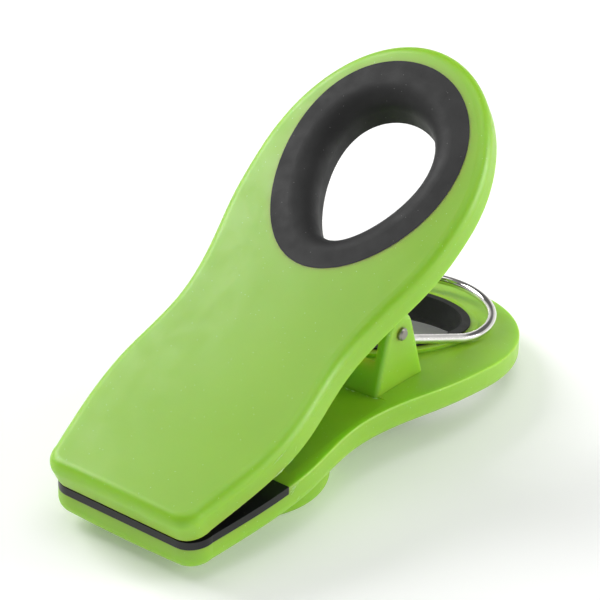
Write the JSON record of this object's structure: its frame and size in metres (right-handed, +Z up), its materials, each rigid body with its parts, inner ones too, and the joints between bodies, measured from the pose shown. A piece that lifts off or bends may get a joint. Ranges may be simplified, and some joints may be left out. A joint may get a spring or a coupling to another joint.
{
  "type": "bag clip",
  "caption": "Sprung bag clip: two arched plastic arms with padded square jaws, egg-shaped finger holes lined in soft rubber, a cross pin and a wire torsion spring.",
  "frame": {"origin": "centre of the bounding box's bottom face, on the surface the clip lies on", "axes": "+X from the jaw lip to the handle ends, +Y across the clip along the pin, +Z up from the surface"},
  "size_m": [0.1073, 0.0464, 0.0642],
  "materials": {
    "arm_plastic": "satin, faintly waxy",
    "grip_rubber": "soft matte",
    "pad_rubber": "satin",
    "pin_steel": "satin",
    "spring_wire": "bright plated",
    "magnet_ferrite": "matt"
  },
  "bodies": {
    "lower": {"lower_arm": "arm_plastic", "lower_grip": "grip_rubber", "lower_jaw_pad": "pad_rubber", "magnet": "magnet_ferrite", "pivot_pin": "pin_steel", "torsion_spring": "spring_wire"},
    "upper": {"upper_arm": "arm_plastic", "upper_grip": "grip_rubber", "upper_jaw_pad": "pad_rubber"}
  },
  "joints": [
    {"name": "jaw_pivot", "type": "hinge", "parent": "lower", "child": "upper", "pos_m": [0.00805, 0, 0.02332], "axis": [0, 1, 0], "range_deg": [0, 30], "stiffness_Nm_per_rad": 0.5, "springref_deg": -57.3, "deforming": ["torsion_spring"]}
  ]
}
